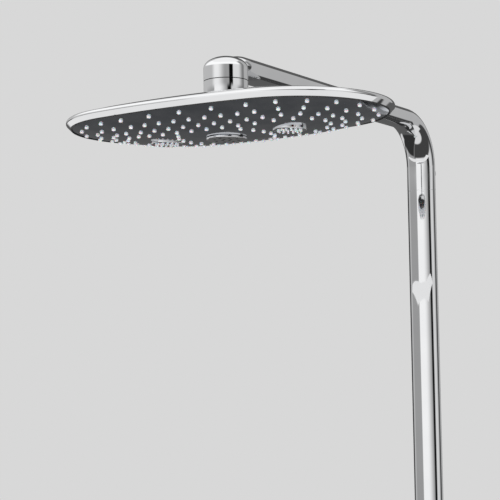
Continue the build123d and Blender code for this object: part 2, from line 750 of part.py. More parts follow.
save(mixer_housing.part, "mixer_housing")

with BuildPart() as case_screws:
    with BuildSketch(Plane.XY.offset(MIXER_FOOT - 0.8)):
        with Locations(*CASE_SCREWS):
            Circle(3.2)
            RegularPolygon(1.2, 6, mode=Mode.SUBTRACT)
    extrude(amount=0.8)
    with BuildSketch(Plane.XY.offset(MIXER_FOOT)):
        with Locations(*CASE_SCREWS):
            Circle(1.9)
    extrude(amount=7)
save(case_screws.part, "case_screws")

with BuildPart() as shelf_frame:
    with BuildSketch(Plane.XY.offset(MIXER_TOP - 4)):
        add(mixer_plan(MIXER_SKIN + 0.1))
        add(mixer_plan(MIXER_SKIN + 5), mode=Mode.SUBTRACT)
        with Locations((0, COLUMN_Y)):
            Rectangle(56, 24)
            Ellipse(TUBE_INNER_W / 2 + 0.2, 9.0, mode=Mode.SUBTRACT)
    extrude(amount=4)
save(shelf_frame.part, "shelf_frame")

with BuildPart() as shelf_panel:
    with BuildSketch(Plane.XY.offset(MIXER_TOP + 0.2)):
        add(mixer_plan())
        with Locations((0, COLUMN_Y)):
            notch = FOOT_FLANGE + SHELF_PLAY
            Ellipse(SECTION_W / 2 + notch, SECTION_D / 2 + notch, mode=Mode.SUBTRACT)
            with Locations((0, 14)):
                Rectangle(SECTION_W + 2 * notch, 28, mode=Mode.SUBTRACT)
    extrude(amount=SHELF_T)
    chamfer(shelf_panel.edges().group_by(Axis.Z)[-1], length=0.8)
save(shelf_panel.part, "shelf_panel")

with BuildPart() as column_foot:
    with BuildSketch(Plane((0, COLUMN_Y, MIXER_TOP + 0.1))):
        Ellipse(SECTION_W / 2 + FOOT_FLANGE, SECTION_D / 2 + FOOT_FLANGE)
        foot_w, foot_d = TUBE_INNER_W / 2 - SPIGOT_CLEAR, TUBE_INNER_D / 2 - SPIGOT_CLEAR
        Ellipse(foot_w, foot_d, mode=Mode.SUBTRACT)
    extrude(amount=COLUMN_FOOT_Z - MIXER_TOP + 1.8)
    chamfer(column_foot.edges().group_by(Axis.Z)[-1].sort_by(SortBy.LENGTH)[-1], length=1.4)
    with BuildSketch(Plane((0, COLUMN_Y, COLUMN_FOOT_Z))):
        Ellipse(SECTION_W / 2 + 2 * FIT, SECTION_D / 2 + 2 * FIT)
    extrude(amount=10, mode=Mode.SUBTRACT)
    # The inner neck that the column slides over.
    with BuildSketch(Plane((0, COLUMN_Y, COLUMN_FOOT_Z - 1))):
        add(spigot_ring())
    extrude(amount=18)
    with BuildSketch(Plane.XZ.offset(-COLUMN_Y)):
        with Locations((0, COLUMN_FOOT_Z + FOOT_SCREW_UP)):
            Circle(SCREW_R + FIT)
    extrude(amount=-SECTION_D, mode=Mode.SUBTRACT)
save(column_foot.part, "column_foot")

# ---------------------------------------------------------------- mixer, inside
BODY_W = 232.0
BODY_H = 34.0
BODY_BACK = -44.0
BODY_FRONT = -98.0
CARTRIDGE_R = 12.0
CARTRIDGE_BACK = -56.0
with BuildPart() as valve_body:
    with BuildSketch(Plane((0, (BODY_BACK + BODY_FRONT) / 2, CONTROL_Z - BODY_H / 2))):
        RectangleRounded(BODY_W, BODY_BACK - BODY_FRONT, 8)
    extrude(amount=BODY_H)
    with BuildSketch(Plane.XZ.offset(34)):
        with Locations((-INLET_PITCH / 2, 0), (INLET_PITCH / 2, 0)):
            Circle(13)
    extrude(amount=12)
    with BuildSketch(Plane.XZ.offset(30)):
        with Locations((-INLET_PITCH / 2, 0), (INLET_PITCH / 2, 0)):
            Circle(8.6)
    extrude(amount=24, mode=Mode.SUBTRACT)
    with BuildSketch(Plane.XZ.offset(-CARTRIDGE_BACK)):
        with Locations(*[(x, CONTROL_Z) for x in (-CONTROL_X, 0, CONTROL_X)]):
            Circle(CARTRIDGE_R + FIT)
    extrude(amount=60, mode=Mode.SUBTRACT)
    with BuildSketch(Plane((*OUTLET_AT, CONTROL_Z))):
        Circle(5)
    extrude(amount=-40, mode=Mode.SUBTRACT)
save(valve_body.part, "valve_body")


def cartridge(x, spindle_r):
    """A cartridge: its sealed barrel and grooved collar, bored for the spindle."""
    with BuildPart(mode=Mode.PRIVATE) as barrel:
        with BuildSketch(Plane.XZ.offset(-CARTRIDGE_BACK)):
            with Locations((x, CONTROL_Z)):
                Circle(CARTRIDGE_R)
        extrude(amount=CARTRIDGE_BACK - BODY_FRONT)
        with BuildSketch(Plane.XZ.offset(-BODY_FRONT)):
            with Locations((x, CONTROL_Z)):
                Circle(CARTRIDGE_R + 2)
        extrude(amount=5)
        with BuildSketch(Plane.XZ.offset(-CARTRIDGE_BACK + 16)):
            with Locations((x, CONTROL_Z)):
                Circle(spindle_r + FIT)
        extrude(amount=80, mode=Mode.SUBTRACT)
    return barrel.part


SPINDLE_R = 4.0
save(cartridge(0, SPINDLE_R), "thermostat_cartridge")
for side_name, side in SIDES:
    save(cartridge(side * CONTROL_X, SPINDLE_R), f"flow_cartridge_{side_name}")

KNOB_BACK = MIXER_FRONT - 0.5
KNOB_LENGTH = 20.0


def spindle(x, start, end):
    """A round spindle from the cartridge to the control's hub."""
    with BuildPart(mode=Mode.PRIVATE) as rod:
        with BuildSketch(Plane.XZ.offset(-start)):
            with Locations((x, CONTROL_Z)):
                Circle(SPINDLE_R)
        extrude(amount=start - end)
    return rod.part


SPINDLE_BACK = CARTRIDGE_BACK - 16.5
save(spindle(0, SPINDLE_BACK, KNOB_BACK - 8), "thermostat_spindle")

GRIP_FLATS = 24
with BuildPart() as temperature_knob:
    with BuildSketch(Plane.XZ.offset(-KNOB_BACK)):
        with Locations((0, CONTROL_Z)):
            Circle(KNOB_R)
    extrude(amount=KNOB_LENGTH)
    fillet(temperature_knob.edges().group_by(Axis.Y)[0], radius=2.2)
    with BuildSketch(Plane.XZ.offset(-KNOB_BACK + 3)):
        with Locations((0, CONTROL_Z)):
            with PolarLocations(KNOB_R + 0.7, GRIP_FLATS):
                Circle(1.3)
    extrude(amount=KNOB_LENGTH, mode=Mode.SUBTRACT)
    with BuildSketch(Plane.XZ.offset(-KNOB_BACK)):
        with Locations((0, CONTROL_Z)):
            Circle(SPINDLE_R)
    extrude(amount=8, mode=Mode.SUBTRACT)
    # The stop button's pocket, at the top of the knob.
    with BuildSketch(Plane.XY.offset(CONTROL_Z + KNOB_R - 7)):
        with Locations((0, KNOB_BACK - 12)):
            Circle(3.4)
    extrude(amount=10, mode=Mode.SUBTRACT)
save(temperature_knob.part, "temperature_knob")

with BuildPart() as stop_button:
    with BuildSketch(Plane.XY.offset(CONTROL_Z + KNOB_R - 4)):
        with Locations((0, KNOB_BACK - 12)):
            Circle(3.1)
    extrude(amount=5.2)
    fillet(stop_button.edges().group_by(Axis.Z)[-1], radius=0.8)
save(stop_button.part, "stop_button")

RING_LENGTH = 14.0
BUTTON_TRAVEL = 3.5
BUTTON_BACK = KNOB_BACK - 6.0
SPRING_R = 6.6
SPRING_WIRE = 0.9
SPRING_PITCH = 2.6
SPRING_LENGTH = BODY_FRONT - 5.6 - BUTTON_BACK - SPRING_WIRE / 2 - 0.1
for side_name, side in SIDES:
    x = side * CONTROL_X
    with BuildPart() as flow_ring:
        with BuildSketch(Plane.XZ.offset(-KNOB_BACK)):
            with Locations((x, CONTROL_Z)):
                Circle(RING_R)
                Circle(BUTTON_R + 0.4, mode=Mode.SUBTRACT)
        extrude(amount=RING_LENGTH)
        fillet(flow_ring.edges().group_by(Axis.Y)[0].sort_by(SortBy.LENGTH)[-1], radius=1.6)
        with BuildSketch(Plane.XZ.offset(-KNOB_BACK + 3)):
            with Locations((x, CONTROL_Z)):
                with PolarLocations(RING_R + 0.7, GRIP_FLATS):
                    Circle(1.3)
        extrude(amount=RING_LENGTH, mode=Mode.SUBTRACT)
        # A sleeve reaches back through the housing and turns on the cartridge's collar.
        with BuildSketch(Plane.XZ.offset(-BODY_FRONT + 5.4)):
            with Locations((x, CONTROL_Z)):
                Circle(BUTTON_R + 1.9)
                Circle(BUTTON_R + 0.4, mode=Mode.SUBTRACT)
        extrude(amount=BODY_FRONT - 5.4 - KNOB_BACK)
    save(flow_ring.part, f"flow_ring_{side_name}")
    with BuildPart() as flow_button:
        with BuildSketch(Plane.XZ.offset(-BUTTON_BACK)):
            with Locations((x, CONTROL_Z)):
                Circle(BUTTON_R)
        extrude(amount=BUTTON_BACK - KNOB_BACK + RING_LENGTH + 2.0)
        fillet(flow_button.edges().group_by(Axis.Y)[0], radius=1.2)
    save(flow_button.part, f"flow_button_{side_name}")
    save(spindle(x, SPINDLE_BACK - BUTTON_TRAVEL - 0.5, BUTTON_BACK), f"push_rod_{side_name}")
    with BuildLine() as coil:
        Helix(SPRING_PITCH, SPRING_LENGTH, SPRING_R)
    spring_axis = Plane(
        (x, BODY_FRONT - 5.6, CONTROL_Z), x_dir=(1, 0, 0), z_dir=(0, -1, 0)
    )
    with BuildPart() as button_spring:
        with BuildSketch(Plane(coil.line @ 0, z_dir=coil.line % 0)):
            Circle(SPRING_WIRE / 2)
        sweep(path=coil.line, is_frenet=True)
    save(spring_axis.location * button_spring.part, f"button_spring_{side_name}")

OUTLET_THREAD = 12.0
with BuildPart() as hose_outlet:
    with BuildSketch(Plane((*OUTLET_AT, CONTROL_Z - BODY_H / 2))):
        Circle(THREAD_HALF_INCH - 0.6)
    extrude(amount=MIXER_FOOT - 0.4 - CONTROL_Z + BODY_H / 2)
    with BuildSketch(Plane((*OUTLET_AT, MIXER_FOOT - 0.4))):
        Circle(THREAD_HALF_INCH)
    extrude(amount=-OUTLET_THREAD)
    with BuildSketch(Plane((*OUTLET_AT, CONTROL_Z))):
        Circle(7.4)
    extrude(amount=-60, mode=Mode.SUBTRACT)
save(hose_outlet.part, "hose_outlet")

# ---------------------------------------------------------------- wall unions
NUT_FLATS = 30.0
UNION_BORE = 7.5
UNION_R = 11.6
UNION_REACH = 26.0          # out from the wall, to the sealing collar
UNION_COLLAR_R = 14.4
THREAD_LENGTH = 16.0        # into the wall
ESCUTCHEON_R = 31.0
ESCUTCHEON_T = 11.0
ESCUTCHEON_SKIN = 2.5
NUT_OUT = 22.6              # distances from the wall to the parts behind each other
NUT_SHOULDER_OUT = 25.8
SEAL_OUT = 30.05
VALVE_OUT = 34.4
VALVE_GRID_OUT = 40.0
NUT_LENGTH = 16.0
SEAL_R = 12.6
SEAL_LENGTH = 3.9
VALVE_R = 8.5
VALVE_BORE = 4.5
for side_name, side in SIDES:
    x = side * INLET_PITCH / 2
    with BuildPart() as wall_union:
        for radius, start, end in (
            (THREAD_HALF_INCH, THREAD_LENGTH, 0),
            (UNION_R, 0, -UNION_REACH),
            (UNION_COLLAR_R, -UNION_REACH, -UNION_REACH - 4),
        ):
            with BuildSketch(Plane.XZ.offset(-start)):
                with Locations((x, 0)):
                    Circle(radius)
            extrude(amount=start - end)
        with BuildSketch(Plane.XZ.offset(-THREAD_LENGTH)):
            with Locations((x, 0)):
                Circle(UNION_BORE)
        extrude(amount=60, mode=Mode.SUBTRACT)
    save(wall_union.part, f"wall_union_{side_name}")
    with BuildPart() as escutcheon:
        with BuildSketch(Plane.XZ):
            with Locations((x, 0)):
                Circle(ESCUTCHEON_R)
        extrude(amount=ESCUTCHEON_T)
        fillet(escutcheon.edges().group_by(Axis.Y)[0], radius=7)
        with BuildSketch(Plane.XZ):
            with Locations((x, 0)):
                Circle(ESCUTCHEON_R - ESCUTCHEON_SKIN)
        extrude(amount=ESCUTCHEON_T - ESCUTCHEON_SKIN, mode=Mode.SUBTRACT)
        with BuildSketch(Plane.XZ):
            with Locations((x, 0)):
                Circle(UNION_R + 4 * FIT)
        extrude(amount=20, mode=Mode.SUBTRACT)
    save(escutcheon.part, f"escutcheon_{side_name}")
    with BuildPart() as union_nut:
        with BuildSketch(Plane.XZ.offset(NUT_OUT)):
            with Locations((x, 0)):
                RegularPolygon(NUT_FLATS / 2, 6, major_radius=False)
        extrude(amount=NUT_LENGTH)
        with BuildSketch(Plane.XZ.offset(NUT_OUT)):
            with Locations((x, 0)):
                Circle(UNION_R + 6 * FIT)
        extrude(amount=20, mode=Mode.SUBTRACT)
        with BuildSketch(Plane.XZ.offset(NUT_SHOULDER_OUT)):
            with Locations((x, 0)):
                Circle(UNION_COLLAR_R + 2 * FIT)
        extrude(amount=20, mode=Mode.SUBTRACT)
    save(union_nut.part, f"union_nut_{side_name}")
    with BuildPart() as union_seal:
        with BuildSketch(Plane.XZ.offset(SEAL_OUT)):
            with Locations((x, 0)):
                Circle(SEAL_R)
                Circle(UNION_BORE, mode=Mode.SUBTRACT)
        extrude(amount=SEAL_LENGTH)
    save(union_seal.part, f"union_filter_seal_{side_name}")
    with BuildPart() as check_valve:
        with BuildSketch(Plane.XZ.offset(VALVE_OUT)):
            with Locations((x, 0)):
                Circle(VALVE_R)
                Circle(VALVE_BORE, mode=Mode.SUBTRACT)
        extrude(amount=15)
        with BuildSketch(Plane.XZ.offset(VALVE_GRID_OUT)):
            with Locations((x, 0)):
                Circle(VALVE_BORE)
                with PolarLocations(2.6, 4):
                    Circle(0.9, mode=Mode.SUBTRACT)
        extrude(amount=2)
    save(check_valve.part, f"check_valve_{side_name}")
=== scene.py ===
import json
import math

import bpy
from mathutils import Matrix, Vector

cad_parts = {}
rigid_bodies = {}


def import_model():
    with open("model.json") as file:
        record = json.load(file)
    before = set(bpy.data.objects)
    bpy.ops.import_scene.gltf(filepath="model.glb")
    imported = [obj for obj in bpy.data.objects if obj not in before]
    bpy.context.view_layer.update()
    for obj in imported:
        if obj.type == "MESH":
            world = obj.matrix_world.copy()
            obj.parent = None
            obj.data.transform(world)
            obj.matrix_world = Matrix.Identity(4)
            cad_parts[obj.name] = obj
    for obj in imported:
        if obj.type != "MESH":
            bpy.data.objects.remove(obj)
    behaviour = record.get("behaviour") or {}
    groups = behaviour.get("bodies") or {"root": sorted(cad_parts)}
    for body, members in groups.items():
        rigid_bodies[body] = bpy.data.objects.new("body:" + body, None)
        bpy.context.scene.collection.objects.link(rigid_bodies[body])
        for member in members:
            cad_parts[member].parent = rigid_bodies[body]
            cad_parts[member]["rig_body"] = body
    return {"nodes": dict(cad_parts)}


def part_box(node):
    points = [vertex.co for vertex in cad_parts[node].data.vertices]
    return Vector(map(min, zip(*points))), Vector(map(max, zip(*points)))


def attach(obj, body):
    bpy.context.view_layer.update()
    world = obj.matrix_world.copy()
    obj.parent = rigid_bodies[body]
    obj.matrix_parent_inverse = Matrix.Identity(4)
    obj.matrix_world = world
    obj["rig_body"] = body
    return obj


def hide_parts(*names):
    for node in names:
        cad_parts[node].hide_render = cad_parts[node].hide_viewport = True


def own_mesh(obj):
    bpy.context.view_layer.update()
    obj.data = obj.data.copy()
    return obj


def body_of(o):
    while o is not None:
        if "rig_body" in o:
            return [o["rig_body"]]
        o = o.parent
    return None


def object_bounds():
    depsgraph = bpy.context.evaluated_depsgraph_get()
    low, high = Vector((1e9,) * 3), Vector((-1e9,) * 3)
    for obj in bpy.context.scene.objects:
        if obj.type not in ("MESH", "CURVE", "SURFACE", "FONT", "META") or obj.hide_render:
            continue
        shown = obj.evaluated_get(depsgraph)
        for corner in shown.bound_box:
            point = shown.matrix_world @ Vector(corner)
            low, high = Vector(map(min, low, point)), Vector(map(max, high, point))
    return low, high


# A rainfall shower column: its looks, studio and camera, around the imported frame.
# Metres. X runs right along the wall, +Y into the wall, +Z up.

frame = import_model()
cad_low, cad_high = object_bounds()

# ---------------------------------------------------------------- camera
HEAD_LOW, HEAD_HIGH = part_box("head_shell")
HEAD_CENTRE = Vector(((HEAD_LOW.x + HEAD_HIGH.x) / 2, (HEAD_LOW.y + HEAD_HIGH.y) / 2, HEAD_LOW.z))
VIEW_DISTANCE = 1.5388
VIEW_AZIMUTH = math.radians(33.28)      # from -Y, towards +X
VIEW_ELEVATION = math.radians(-9.71)    # from below
LOOK_YAW = math.radians(32.446)
LOOK_PITCH = math.radians(4.831)
LOOK_ROLL = math.radians(-0.839)
SENSOR = 36.0
LENS = 108.0


def add_camera():
    """A long lens, low and to the right, looking up under the head."""
    camera = bpy.data.objects.new("camera", bpy.data.cameras.new("camera"))
    camera.data.sensor_width = SENSOR
    camera.data.lens = LENS
    back = Vector((
        math.sin(VIEW_AZIMUTH) * math.cos(VIEW_ELEVATION),
        -math.cos(VIEW_AZIMUTH) * math.cos(VIEW_ELEVATION),
        math.sin(VIEW_ELEVATION),
    ))
    turn = (
        Matrix.Rotation(LOOK_YAW, 4, "Z")
        @ Matrix.Rotation(math.pi / 2 + LOOK_PITCH, 4, "X")
        @ Matrix.Rotation(LOOK_ROLL, 4, "Z")
    )
    camera.matrix_world = Matrix.Translation(HEAD_CENTRE + back * VIEW_DISTANCE) @ turn
    bpy.context.scene.collection.objects.link(camera)
    bpy.context.scene.camera = camera


add_camera()


# ---------------------------------------------------------------- studio
def grey(level):
    """A linear grey from a display level of 0 to 255."""
    share = level / 255
    return share / 12.92 if share <= 0.04045 else ((share + 0.055) / 1.055) ** 2.4


CHROME_SHARE = 0.84     # what a chrome surface keeps of the light it mirrors
PALE = 216              # the plain surroundings
# The room that the chrome mirrors: a dim back, with plain soft boxes laid over it in this
# order. Each has its two edges as azimuths in degrees from -Y towards +X, how soft each
# edge is, and its display tone. The first room lies level and below, the second above it.
ROOM_BACK = 85
LEVEL_ROOM = {
    "left_dark": (-120, -96, 20, 15, 50),
    "left_wall": (-96, -20, 15, 5, 150),
    "left_lamp": (-96, -80, 15, 10, 180),
    "window_frame": (-20, 60, 5, 5, 150),
    "window": (-29, 20, 5, 45, 238),
    "dark_gap": (40, 62, 10, 5, 10),
    "right_dark": (95, 140, 30, 5, 65),
    "right_card": (60, 100, 10, 30, 205),
    "far_right": (137, 178, 5, 4, 170),
}
UPPER_ROOM = {
    "left_wall": (-130, -20, 20, 5, 180),
    "window_frame": (-20, 60, 5, 5, 150),
    "window": (-35, 10, 25, 45, 230),
    "right_wall": (90, 140, 5, 5, 120),
    "dark_gap": (50, 72, 5, 5, 10),
    "right_card": (70, 115, 5, 35, 215),
    "far_right": (139, 178, 5, 4, 170),
}
ROOM_CHANGE = (6.5, 9.5)        # elevations
# Above and below, laid over the rooms in this order: azimuths, elevations, softness, tone.
PANELS = {
    "ceiling_front": (-104, 112, 20, 120, 12, 250),
    "ceiling_back": (-250, 250, 53, 120, 8, 236),
    "dark_below_arm": (165, 185, -41, -25, 3, 58),
    "below_front": (-36, 126, -64, -16, 7, 62),
    "floor_front": (-36, 134, -120, -62, 7, 210),
    "floor_side": (126, 185, -120, -43, 5, 216),
    "dark_floor_left": (-121, -38, -120, -20, 6, 46),
    "floor_back": (-250, -140, -120, -50, 5, 205),
    "left_card": (-128, -109, -30, -6, 5, 205),
}
# Name, place, width and power of the lights that aren't mirrored.
LIGHTS = (
    ("key", (-1.6, -2.2, 2.6), 1.6, 40),
    ("low_fill", (0.5, -1.9, 0.15), 1.4, 22),
)
FLOOR_RADIUS = 0.75
FLOOR_Y = -0.2
FLOOR_GAP = 0.012       # between the mixer and the floor
FLOOR_SIDES = 96
FLOOR_FADE = (0.49, 0.2)        # from clear to solid, as shares of the disc's width
FLOOR_LIFT = 0.05       # how much paler the paper is than the surroundings
CARD_DROP = 0.11        # from the rim to the white card below it
CARD_TONE = 224
CARD_OUTLINE = (
    (0.55, -1.15), (0.55, -0.3), (0.25, -0.3), (0.2, -0.42), (0.17, -0.5), (0.13, -0.565),
    (0.05, -0.585), (-0.17, -0.6), (-0.6, -0.19), (-0.85, -0.17), (-0.85, -1.15),
)


def math_node(tree, operation, *inputs, clamp=False):
    """A Math node with its inputs linked or set."""
    node = tree.nodes.new("ShaderNodeMath")
    node.operation = operation
    node.use_clamp = clamp
    for socket, value in zip(node.inputs, inputs):
        if isinstance(value, bpy.types.NodeSocket):
            tree.links.new(value, socket)
        else:
            socket.default_value = value
    return node.outputs[0]


def soft_step(tree, value, start, end):
    """0 before start, 1 after end, smooth between; falls instead if end < start."""
    step = tree.nodes.new("ShaderNodeMapRange")
    step.interpolation_type = "SMOOTHSTEP"
    tree.links.new(value, step.inputs["Value"])
    step.inputs["From Min"].default_value = min(start, end)
    step.inputs["From Max"].default_value = max(start, end)
    step.inputs["To Min"].default_value = 0.0 if start < end else 1.0
    step.inputs["To Max"].default_value = 1.0 if start < end else 0.0
    return step.outputs["Result"]


def between(tree, value, low, high, soft_low, soft_high):
    """1 between low and high, falling smoothly to 0 across each edge's softness."""
    return math_node(
        tree, "MULTIPLY",
        soft_step(tree, value, low - soft_low / 2, low + soft_low / 2),
        soft_step(tree, value, high + soft_high / 2, high - soft_high / 2),
    )


def mix_value(tree, factor, first, second):
    """A blend of two numbers or sockets."""
    mix = tree.nodes.new("ShaderNodeMix")
    mix.data_type = "FLOAT"
    tree.links.new(factor, mix.inputs[0])
    for socket, value in zip(mix.inputs[2:4], (first, second)):
        if isinstance(value, bpy.types.NodeSocket):
            tree.links.new(value, socket)
        else:
            socket.default_value = value
    return mix.outputs[0]


def room_tone(tree, azimuth, room):
    """The dim back of the room with its soft boxes, as one tone round the horizon."""
    tone = grey(ROOM_BACK) / CHROME_SHARE
    for low, high, soft_low, soft_high, level in room.values():
        mask = between(tree, azimuth, low, high, soft_low, soft_high)
        tone = mix_value(tree, mask, tone, grey(level) / CHROME_SHARE)
    return tone


def add_world():
    """Plain pale surroundings, and the softer and darker panels that chrome mirrors."""
    world = bpy.data.worlds.new("studio")
    world.use_nodes = True
    bpy.context.scene.world = world
    tree = world.node_tree
    tree.nodes.clear()
    direction = tree.nodes.new("ShaderNodeTexCoord").outputs["Generated"]
    split = tree.nodes.new("ShaderNodeSeparateXYZ")
    tree.links.new(direction, split.inputs[0])
    x, y, z = split.outputs
    azimuth = math_node(tree, "DEGREES", math_node(
        tree, "ARCTAN2", x, math_node(tree, "MULTIPLY", y, -1.0)))
    elevation = math_node(tree, "DEGREES", math_node(tree, "ARCSINE", z))
    tone = mix_value(
        tree,
        soft_step(tree, elevation, *ROOM_CHANGE),
        room_tone(tree, azimuth, LEVEL_ROOM),
        room_tone(tree, azimuth, UPPER_ROOM),
    )
    for az_low, az_high, el_low, el_high, soft, level in PANELS.values():
        mask = math_node(
            tree, "MULTIPLY",
            between(tree, azimuth, az_low, az_high, soft, soft),
            between(tree, elevation, el_low, el_high, soft, soft),
        )
        tone = mix_value(tree, mask, tone, grey(level) / CHROME_SHARE)
    mirrored = tree.nodes.new("ShaderNodeBackground")
    tree.links.new(tone, mirrored.inputs["Color"])
    soft_light = tree.nodes.new("ShaderNodeBackground")
    soft_light.inputs["Color"].default_value = (*[grey(PALE)] * 3, 1)
    paths = tree.nodes.new("ShaderNodeLightPath")
    either = tree.nodes.new("ShaderNodeMixShader")
    tree.links.new(paths.outputs["Is Glossy Ray"], either.inputs["Fac"])
    tree.links.new(soft_light.outputs[0], either.inputs[1])
    tree.links.new(mirrored.outputs[0], either.inputs[2])
    output = tree.nodes.new("ShaderNodeOutputWorld")
    tree.links.new(either.outputs[0], output.inputs["Surface"])


def add_soft_light(name, place, aim, size, power):
    """A large area light that shades the object but isn't mirrored in it."""
    light = bpy.data.objects.new(name, bpy.data.lights.new(name, "AREA"))
    light.data.shape = "DISK"
    light.data.size = size
    light.data.energy = power
    light.location = place
    light.rotation_mode = "QUATERNION"
    light.rotation_quaternion = (Vector(aim) - Vector(place)).to_track_quat("-Z", "Y")
    light.visible_glossy = False
    bpy.context.scene.collection.objects.link(light)


def add_floor():
    """A plain pale disc under the mixer, which fades out at its edge."""
    mesh = bpy.data.meshes.new("floor")
    angles = [2 * math.pi * k / FLOOR_SIDES for k in range(FLOOR_SIDES)]
    ring = [
        (FLOOR_RADIUS * math.cos(a), FLOOR_Y + FLOOR_RADIUS * math.sin(a), cad_low[2] - FLOOR_GAP)
        for a in angles
    ]
    mesh.from_pydata(ring, [], [tuple(range(FLOOR_SIDES))])
    floor = bpy.data.objects.new("floor", mesh)
    bpy.context.scene.collection.objects.link(floor)
    floor.visible_glossy = False
    material = bpy.data.materials.new("floor_paper")
    material.use_nodes = True
    tree = material.node_tree
    bsdf = tree.nodes["Principled BSDF"]
    bsdf.inputs["Base Color"].default_value = (*[grey(PALE) + FLOOR_LIFT] * 3, 1)
    bsdf.inputs["Roughness"].default_value = 0.9
    spot = tree.nodes.new("ShaderNodeTexCoord").outputs["Generated"]
    centred = tree.nodes.new("ShaderNodeVectorMath")
    centred.operation = "DISTANCE"
    tree.links.new(spot, centred.inputs[0])
    centred.inputs[1].default_value = (0.5, 0.5, 0.0)
    tree.links.new(soft_step(tree, centred.outputs["Value"], *FLOOR_FADE), bsdf.inputs["Alpha"])
    mesh.materials.append(material)


def add_low_card():
    """A white card below the head's rim, seen only in reflections."""
    mesh = bpy.data.meshes.new("low_card")
    corners = [(x, y, HEAD_CENTRE.z - CARD_DROP) for x, y in CARD_OUTLINE]
    mesh.from_pydata(corners, [], [tuple(range(len(corners)))])
    card = bpy.data.objects.new("low_card", mesh)
    bpy.context.scene.collection.objects.link(card)
    material = bpy.data.materials.new("card_glow")
    material.use_nodes = True
    bsdf = material.node_tree.nodes["Principled BSDF"]
    bsdf.inputs["Base Color"].default_value = (0, 0, 0, 1)
    bsdf.inputs["Specular IOR Level"].default_value = 0.0
    bsdf.inputs["Emission Color"].default_value = (1, 1, 1, 1)
    bsdf.inputs["Emission Strength"].default_value = grey(CARD_TONE) / CHROME_SHARE
    mesh.materials.append(material)
    card.visible_camera = False
    card.visible_diffuse = False
    card.visible_shadow = False


add_world()
add_floor()
add_low_card()
for light_name, light_place, light_size, light_power in LIGHTS:
    add_soft_light(light_name, light_place, HEAD_CENTRE, light_size, light_power)
bpy.context.scene.view_settings.view_transform = "Standard"

# ---------------------------------------------------------------- smooth chrome
MM = 0.001
SHARP_ANGLE = math.radians(32)          # edges sharper than this aren't smoothed
# How far from the hub's seam the flat faces get painted shade.
SEAM_SHADE_REACH = 1 * MM
END_X = 75 * MM                 # the head's outline: end arcs, and long side arcs
END_R = 105 * MM
HALF_W = 110 * MM
SIDE_DROP = (END_X**2 - (HALF_W - END_R) ** 2) / (2 * (HALF_W - END_R))
FACE_INSET = 5 * MM
FACE_GAP = 1 * MM
RIM_HEIGHT = 9 * MM
RIM_BEVEL = 4.2 * MM
RIM_CREST = 1.8 * MM
RIM_ROUND = 3.8 * MM
GROOVE_DEEP = 6.5 * MM          # the rim's inner side
COVER_RISE = 12 * MM
COVER_TUCK = 0.6 * MM           # how far the cover's curve starts below the rim's top
COVER_START = 0.985             # and the share of the outline where it starts
COVER_INNER = 0.2               # the share where the flat pad round the swivel begins
COVER_ROUND_FROM = 0.6          # how far inward the oval starts to turn round
COVER_STEPS = 72
INSIDE_SHARE = 0.6
INSIDE_RISE = 5 * MM
SOCKET_DEEP = 8 * MM
SKIN = 2.2 * MM
SOCKET_HOLE = 14.7 * MM
PAD_R = 26 * MM
CROWN = 16.2 * MM
CROWN_POWER = 2.4
FACE_INNER = 0.12
FACE_ROUND_FROM = 0.8
FACE_STEPS = 84
FACE_SKIN = 1.5 * MM
FACE_FLANGE = 3.5 * MM
FACE_HOLE = 18 * MM
INSERT_HOLE = 13.5 * MM
HUB_R = 22.9 * MM
COLLAR_LOW, COLLAR_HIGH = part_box("hub_collar")
HUB_SEAM = 42.5 * MM
DOME_UP = 55.5 * MM
DOME_RISE = 12.5 * MM
DOME_TIP = 0.02 * MM
DOME_STEPS = 32
STUD_HOLE = 8.1 * MM
STUD_DEEP = 8 * MM
COLLAR_BORE = 17.4 * MM
COLLAR_EDGE = 0.8 * MM
COLLAR_EDGE_STEPS = 8
COLLAR_ROOF = 3.4 * MM
NOSE = 22 * MM
NOSE_STEPS = 24
ARM_UP = 59.2 * MM
ARM_STEPS = 24
BEND_R = 56 * MM
BEND_STEPS = 48
BELOW_BEND = 12 * MM
FOOT_BORE = 30 * MM
TUBE_LOW, TUBE_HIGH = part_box("column_tube")
COLUMN_Y = (TUBE_LOW.y + TUBE_HIGH.y) / 2
SECTION_W = TUBE_HIGH.x - TUBE_LOW.x
SECTION_D = TUBE_HIGH.y - TUBE_LOW.y
ARM_FOOT_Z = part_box("arm_casting")[0].z
SCREWS_LOW, SCREWS_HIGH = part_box("column_screws")
SCREW_R = 2 * MM
SCREW_HOLE_R = 2.05 * MM
SCREW_HOLE_SIDES = 32
SCREW_ROWS = 3 * MM             # between the column's rows near a screw hole
DRILL_FROM = 5 * MM             # behind the column's middle


def arc(centre, radius, start, end, count):
    """Points on an arc, with their outward directions; angles in degrees."""
    points = []
    for k in range(count):
        angle = math.radians(start + (end - start) * k / count)
        out = Vector((math.cos(angle), math.sin(angle), 0))
        points.append((Vector(centre) + out * radius, out))
    return points


JOIN = math.degrees(math.atan2(SIDE_DROP, END_X))
OUTLINE = (
    arc((END_X, 0, 0), END_R, -JOIN, JOIN, 120)
    + arc((0, -SIDE_DROP, 0), SIDE_DROP + HALF_W, JOIN, 180 - JOIN, 48)
    + arc((-END_X, 0, 0), END_R, 180 - JOIN, 180 + JOIN, 120)
    + arc((0, SIDE_DROP, 0), SIDE_DROP + HALF_W, 180 + JOIN, 360 - JOIN, 48)
)


def offset_ring(inset, height):
    """The head's outline moved in by inset."""
    return [HEAD_CENTRE + p - out * inset + Vector((0, 0, height)) for p, out in OUTLINE]


def scaled_ring(inset, factor, height, circle=0.0, roundness=0.0):
    """The inset outline, scaled, and turned into a circle as far as roundness says."""
    ring = []
    for p, out in OUTLINE:
        spot = (p - out * inset) * factor
        spot = spot.lerp(p.normalized() * circle, roundness)
        ring.append(HEAD_CENTRE + spot + Vector((0, 0, height)))
    return ring


